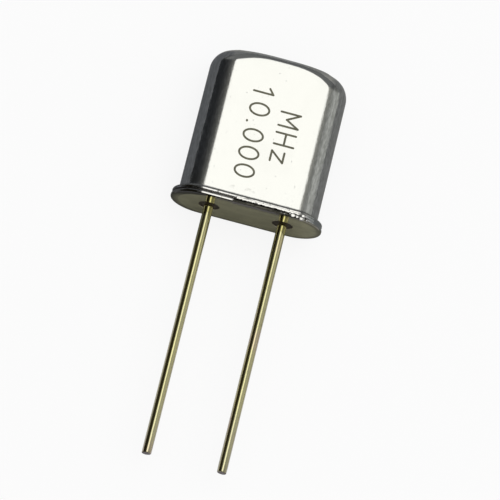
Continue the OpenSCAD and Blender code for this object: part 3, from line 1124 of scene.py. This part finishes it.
def add_lamp(name, place, size_x, size_y, power):
    """A rectangular lamp that points at the middle of the can"""
    lamp = bpy.data.lights.new(name, "AREA")
    lamp.shape = "RECTANGLE"
    lamp.size, lamp.size_y, lamp.energy = size_x, size_y, power
    holder = bpy.data.objects.new(name, lamp)
    holder.location = place
    holder.rotation_mode = "QUATERNION"
    holder.rotation_quaternion = (-Vector(place)).to_track_quat("-Z", "Y")
    holder.visible_camera = False
    bpy.context.scene.collection.objects.link(holder)
    return holder


def studio_world(level):
    """Plain pale walls, at the floor's own level near the horizon"""
    world = bpy.data.worlds.new("studio")
    bpy.context.scene.world = world
    tree = new_tree(world)
    _, _, height = split(node(tree, "TexCoord", {}, output=GENERATED))
    horizon = height.ramp(0.15, 0.07)
    grey = layered((level,) * 3, (horizon, (0.98, 0.98, 0.98)))
    node(tree, "OutputWorld", {0: node(tree, "Background", {0: grey, 1: 1.0})})


def flagged_walls():
    """What gloss sees of the walls: grey, brighter low on the right, dark flags left and behind"""
    material, place, _ = new_material("flagged_walls")
    x, y, z = split(node(place.tree, "VectorMath", {0: place}, operation="NORMALIZE"))
    right = x.ramp(0.56, 0.78, 0.34, 0.70) - x.ramp(0.84, 0.96, 0.0, 0.1)
    right = right * y.ramp(0.40, 0.62, 1.0, 0.45)
    slot = y.ramp(-0.36, -0.46) * abs(x).ramp(0.5, 0.35)
    left = x.ramp(-0.12, -0.24) * y.ramp(-0.9, -0.7) * y.ramp(0.76, 0.56)
    behind = y.ramp(0.45, 0.6) * abs(x).ramp(0.75, 0.4)
    high_left = x.ramp(-0.3, -0.56) * y.ramp(0.54, 0.68) * z.ramp(0.2, 0.42)
    grey = layered(
        (0.0, 0.0, 0.0),
        (right, (1.0, 1.0, 0.93)),
        (y.ramp(0.0, -0.25), (0.34, 0.34, 0.335)),
        (y.ramp(-0.4, -0.55), (0.6, 0.6, 0.59)),
        (slot, (0.04, 0.04, 0.04)),
        (left, layered((0.12, 0.12, 0.115), (x.ramp(-0.28, -0.82), (0.034, 0.036, 0.039)))),
        (behind, (0.15, 0.155, 0.16)),
        (high_left, (0.33, 0.33, 0.32)),
    )
    return ended(material, node(place.tree, "Emission", {0: grey, 1: 1.0}))


def light_table(surface):
    """A light table: pale, faintly mottled, mostly lit from below, evenly bright far away"""
    material, place, _ = new_material("light_table")
    tone = layered(surface, (place.noise(2.0, 2.0, 2.0), shade(surface, 0.985)))
    distance = node(place.tree, "VectorMath", {0: place}, output=LENGTH, operation="LENGTH")
    lit = node(place.tree, "BsdfDiffuse", {0: tone})
    glow = node(place.tree, "Emission", {0: (0.98, 0.98, 0.98, 1.0), 1: 1.0})
    share = distance.ramp(18, 60, 0.88, 1.0)
    return ended(material, node(place.tree, "MixShader", {0: share, 1: lit, 2: glow}))


def grey_card():
    """Matt grey card, darker on the left as painted shade: a dark painted shadow under the can, a
    little painted shade under the plate, and a pale patch of painted light under the leads
    """
    material, place, (x, y, _) = new_material("grey_card")
    aside = abs(x)
    painted_shade_under_plate = y.ramp(-1.5, -1.05) * y.ramp(0.3, 0.0)
    painted_light_under_leads = y.ramp(-1.05, -1.5) * aside.ramp(12, 7) * y.ramp(-22, -16)
    painted_shadow_under_can = y.ramp(0.0, 0.3) * aside.ramp(3.5, 3.0) * y.ramp(8.4, 7.6)
    tone = layered(
        # Darker on the left as painted shade
        (0.19, 0.195, 0.205),
        (x.ramp(-5, 5), (0.31, 0.31, 0.30)),
        (aside.ramp(4.2, 3.0), (0.34, 0.34, 0.32)),
        (painted_shade_under_plate * 0.286, (0.0, 0.0, 0.0)),
        (painted_light_under_leads, (0.58, 0.57, 0.72)),
        (painted_shadow_under_can, (0.03, 0.03, 0.03)),
        (aside.ramp(2.8, 0.8) * y.ramp(8.2, 9.0), (0.42, 0.42, 0.42)),
        (place.noise(0.3, 0.3, 0.3) * 0.1, (0.4, 0.4, 0.4)),
    )
    return ended(material, node(place.tree, "BsdfDiffuse", {0: tone}))


def wire_flag(name, turns, tone, low_tone, fade_y, fade_z):
    """A flag of thin cloth beside the wires: an arc about the Y axis between two turns in degrees.

    Its tone changes below 12 mm and dims towards the wires' ends, and the cloth thins out between
    the two values of fade_y and of fade_z, which are in millimetres as well.
    """
    material, place, (_, y, z) = new_material(name)
    cloth = layered(
        tone,
        (z.ramp(12, 3), low_tone),
        (place.noise(0.2, 0.2, 0.2, detail=2.0) * 0.2, low_tone),
        (y.ramp(-5.5, -7.5), shade(tone, 0.48)),
    )
    clear = node(place.tree, "BsdfTransparent", {})
    glow = node(place.tree, "Emission", {0: cloth, 1: 1.0})
    cover = y.ramp(*fade_y) * z.ramp(*fade_z)
    ended(material, node(place.tree, "MixShader", {0: cover, 1: clear, 2: glow}))
    turn = np.radians(np.linspace(*turns, 24))[:, None]
    along = np.linspace(FLAG_LOW, FLAG_HIGH, 12)[None, :]
    grid = np.broadcast_arrays(FLAG_REACH * np.cos(turn), along, FLAG_REACH * np.sin(turn))
    return add_stage(name, np.stack(grid, -1), material, closed=False)


def add_camera(studio):
    """The camera, turned, dropped and rolled as the studio says, at its distance from its aim"""
    turn, drop, roll = (radians(value) for value in (studio.azimuth, studio.drop, studio.roll))
    back = Vector((-sin(turn) * cos(drop), -sin(drop), cos(turn) * cos(drop)))
    up = (Vector((0, 1, 0)) - back * back.y).normalized()
    across = up.cross(back) * cos(roll) + up * sin(roll)
    data = bpy.data.cameras.new("camera")
    data.lens, data.sensor_width, data.clip_start, data.clip_end = LENS, 36, 1 * MM, 10
    camera = bpy.data.objects.new("camera", data)
    camera.matrix_world = Matrix.Translation(AIM + back * studio.distance) @ Matrix(
        (across, back.cross(across), back)
    ).transposed().to_4x4()
    bpy.context.scene.collection.objects.link(camera)
    return camera


class CRYSTAL_OT_studio(bpy.types.Operator):
    """Lays the light table, hangs the lamps and what only gloss sees, and sets up the camera"""

    bl_idname = "crystal.studio"
    bl_label = "Set up the studio"

    def execute(self, context):
        studio, rest = context.scene.crystal.studio, SOLIDS_LOW.z
        below = rest - 0.002 * MM
        floor = turned([(0, below), (FLOOR_MIDDLE, below), (FLOOR_REACH, below)], steps=96)
        add_stage("floor", floor, light_table(tuple(studio.floor)))

        # What only gloss sees, to darken the bare metal: a shallow dish, the walls and two flags
        just_below = rest - 0.001 * MM
        rim = (DISH_REACH, rest + DISH_LIFT)
        dish = turned([(0, just_below), (DISH_MIDDLE, just_below), rim], steps=96)
        lifts = np.radians(np.linspace(6, 90, 24))
        ribs = [(WALLS_REACH * cos(lift), WALLS_REACH * sin(lift)) for lift in lifts]
        dome = turned(ribs, steps=64)
        for flag in (
            add_stage("grey_dish", dish, grey_card()),
            add_stage("flagged_walls", dome, flagged_walls()),
            wire_flag(
                "dark_flag", (183, 122), (0.017, 0.012, 0.004), (0.06, 0.057, 0.05),
                fade_y=(9.5, 5.5), fade_z=(-2, -1),
            ),
            wire_flag(
                "pale_flag", (3, 62), (0.45, 0.45, 0.48), (0.45, 0.45, 0.54),
                fade_y=(9.5, 2.5), fade_z=(3, 11),
            ),
        ):
            flag.visible_camera = flag.visible_diffuse = flag.visible_shadow = False
            flag.visible_transmission = False

        # A panel's power is its radiance times pi times its area; the softbox hangs level
        power = studio.softbox * pi * SOFTBOX_SIZE[0] * SOFTBOX_SIZE[1]
        softbox = add_lamp("softbox", SOFTBOX_PLACE, *SOFTBOX_SIZE, power)
        softbox.rotation_quaternion = (1, 0, 0, 0)
        key = add_lamp("key", KEY_PLACE, *KEY_SIZE, studio.key)
        key.visible_glossy = False
        studio_world(studio.around)
        context.scene.camera = add_camera(studio)
        context.scene.view_settings.view_transform = "Standard"
        return {"FINISHED"}


# ---- sidebar and running

STEPS = (
    CRYSTAL_OT_can, CRYSTAL_OT_base_plate, CRYSTAL_OT_beads, CRYSTAL_OT_leads, CRYSTAL_OT_weld,
    CRYSTAL_OT_marking, CRYSTAL_OT_inner_parts, CRYSTAL_OT_studio,
)


class VIEW3D_PT_crystal(bpy.types.Panel):
    """Lists the settings and the steps"""

    bl_label = "Crystal Unit"
    bl_idname = "VIEW3D_PT_crystal"
    bl_space_type = "VIEW_3D"
    bl_region_type = "UI"
    bl_category = "Crystal Unit"

    def draw(self, context):
        for key, group in SETTINGS.items():
            box = self.layout.box()
            box.label(text=group.__doc__)
            for setting in group.__annotations__:
                box.prop(getattr(context.scene.crystal, key), setting)
        for step in STEPS:
            self.layout.operator(step.bl_idname)


CLASSES = (*SETTINGS.values(), UnitSettings, *STEPS, VIEW3D_PT_crystal)


def register():
    for each in CLASSES:
        bpy.utils.register_class(each)
    bpy.types.Scene.crystal = PointerProperty(type=UnitSettings)


def unregister():
    del bpy.types.Scene.crystal
    for each in reversed(CLASSES):
        bpy.utils.unregister_class(each)


def main():
    """Registers the add-on and runs its steps in order."""
    register()
    for step in STEPS:
        family, name = step.bl_idname.split(".")
        getattr(getattr(bpy.ops, family), name)()


if __name__ == "__main__":
    main()
